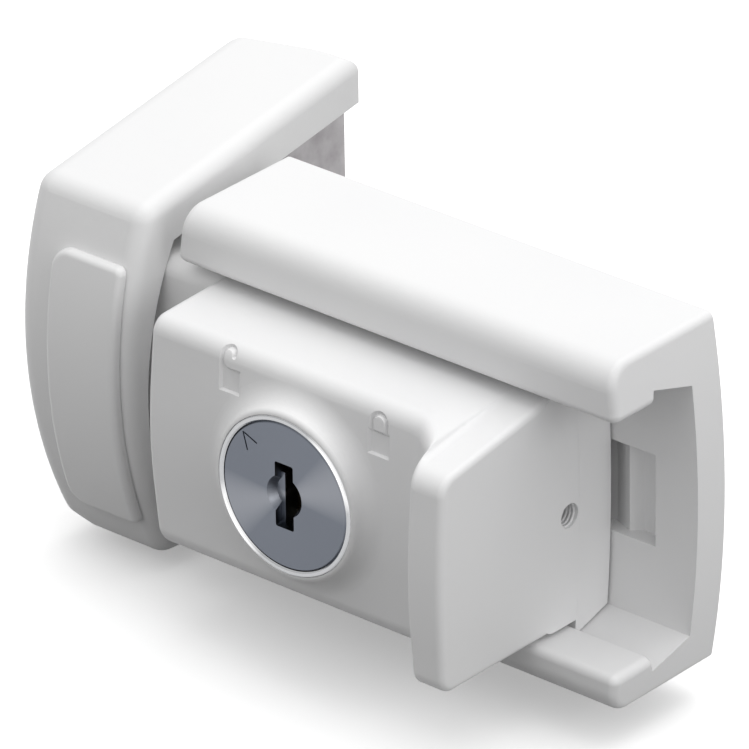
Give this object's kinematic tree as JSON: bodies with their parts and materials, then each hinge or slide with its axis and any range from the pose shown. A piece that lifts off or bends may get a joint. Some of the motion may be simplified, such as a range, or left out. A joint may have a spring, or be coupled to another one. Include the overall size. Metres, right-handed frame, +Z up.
{
  "type": "window lock",
  "caption": "Surface-mounted window lock: a key-locked slide in a sash housing, its tongue held by a hooded keeper on the frame.",
  "frame": {"origin": "middle of the housing's face that lies on the sash", "axes": "+X along the slide towards its grip, the way it opens; +Y into the window; +Z up"},
  "size_m": [0.0862, 0.0524, 0.0535],
  "materials": {
    "powder_coat": "white powder coat with a faint orange peel",
    "white_plastic": "smooth satin white",
    "cast_zinc": "bare die casting, mottled grey",
    "nickel_plate": "nickel plate, finely turned face",
    "bright_chrome": "bright",
    "brass": "machined",
    "zinc_steel": "bright zinc",
    "black_steel": "black oxide"
  },
  "bodies": {
    "base": {"base_housing": "powder_coat", "keeper_base": "cast_zinc", "keeper_hood": "powder_coat", "keeper_screw_cover": "white_plastic", "keeper_hood_screws": "zinc_steel"},
    "slider": {"slider_body": "powder_coat", "slide_plate": "powder_coat", "plate_screws": "zinc_steel", "stop_pin": "zinc_steel", "detent_ball": "zinc_steel", "detent_spring": "zinc_steel", "cylinder_shell": "brass", "cylinder_collar": "bright_chrome", "grub_screw": "black_steel", "index_ball": "zinc_steel", "index_spring": "zinc_steel"},
    "plug": {"cylinder_plug": "nickel_plate", "wafers": "brass", "wafer_springs": "zinc_steel", "retaining_clip": "zinc_steel", "drive_cam": "brass"},
    "bolt": {"lock_bolt": "zinc_steel"}
  },
  "joints": [
    {"name": "slide_travel", "type": "slide", "parent": "base", "child": "slider", "axis": [1, 0, 0], "range_m": [0, 0.011]},
    {"name": "key_turn", "type": "hinge", "parent": "slider", "child": "plug", "pos_m": [-0.0057, -0.0303, -0.0013], "axis": [0, 1, 0], "range_deg": [0, 90]},
    {"name": "bolt_lift", "type": "slide", "parent": "slider", "child": "bolt", "axis": [0, 0, 1], "range_m": [0, 0.0034]}
  ],
  "couplings": [
    {"joint": "bolt_lift", "follows": "key_turn", "m_per_rad": 0.00216}
  ]
}
